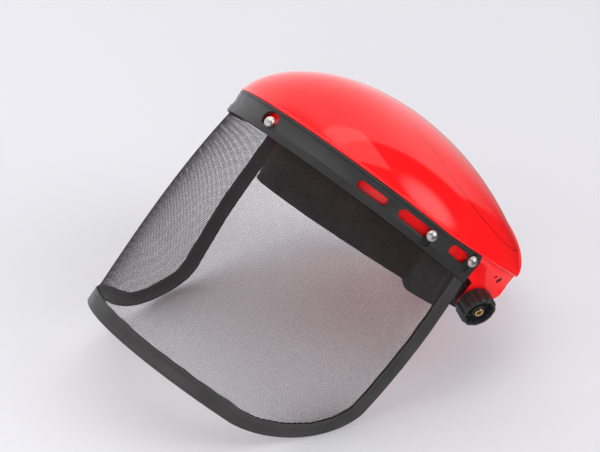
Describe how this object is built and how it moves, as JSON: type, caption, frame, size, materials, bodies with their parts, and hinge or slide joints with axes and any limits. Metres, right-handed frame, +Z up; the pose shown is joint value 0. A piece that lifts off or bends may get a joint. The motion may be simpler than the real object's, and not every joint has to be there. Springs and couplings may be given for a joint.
{
  "type": "mesh face shield",
  "caption": "Face shield with a moulded brow guard, a curved wire-mesh visor studded to its rim, and a padded headband that it tilts about on side knobs.",
  "frame": {"origin": "on the surface that the shield rests on, under the middle of its bounding box", "axes": "+X to the wearer's left, +Y towards the back of the headband, +Z up; the visor faces -Y and leans back"},
  "size_m": [0.2562, 0.3356, 0.209],
  "materials": {
    "guard_plastic": "glossy red, injection moulded",
    "band_plastic": "semi-gloss black",
    "wire_mesh": "satin dark grey, fine square weave",
    "binding_vinyl": "satin black",
    "headband_plastic": "matt black",
    "foam_pad": "matt black foam",
    "stud_metal": "nickel plated",
    "knob_plastic": "satin black, ribbed",
    "brass": "turned, slightly dull"
  },
  "bodies": {
    "visor": {"brow_guard": "guard_plastic", "visor_band": "band_plastic", "mesh_visor": "wire_mesh", "edge_binding": "binding_vinyl", "stud_front": "stud_metal", "stud_right_side": "stud_metal", "stud_right_end": "stud_metal", "stud_left_side": "stud_metal", "stud_left_end": "stud_metal"},
    "headband": {"headband": "headband_plastic", "sweatband": "foam_pad", "size_adjuster": "headband_plastic"},
    "left_knob": {"knob_left": "knob_plastic", "bolt_left": "brass"},
    "right_knob": {"knob_right": "knob_plastic", "bolt_right": "brass"}
  },
  "joints": [
    {"name": "tilt", "type": "hinge", "parent": "visor", "child": "headband", "pos_m": [0, 0.08717, 0.05816], "axis": [1, 0, 0], "range_deg": [0, 75]},
    {"name": "left_knob_turn", "type": "hinge", "parent": "visor", "child": "left_knob", "pos_m": [0.11316, 0.08383, 0.05503], "axis": [0.9397, -0.2497, -0.2337], "continuous": true},
    {"name": "right_knob_turn", "type": "hinge", "parent": "visor", "child": "right_knob", "pos_m": [-0.11316, 0.08383, 0.05503], "axis": [-0.9397, -0.2497, -0.2337], "continuous": true}
  ]
}
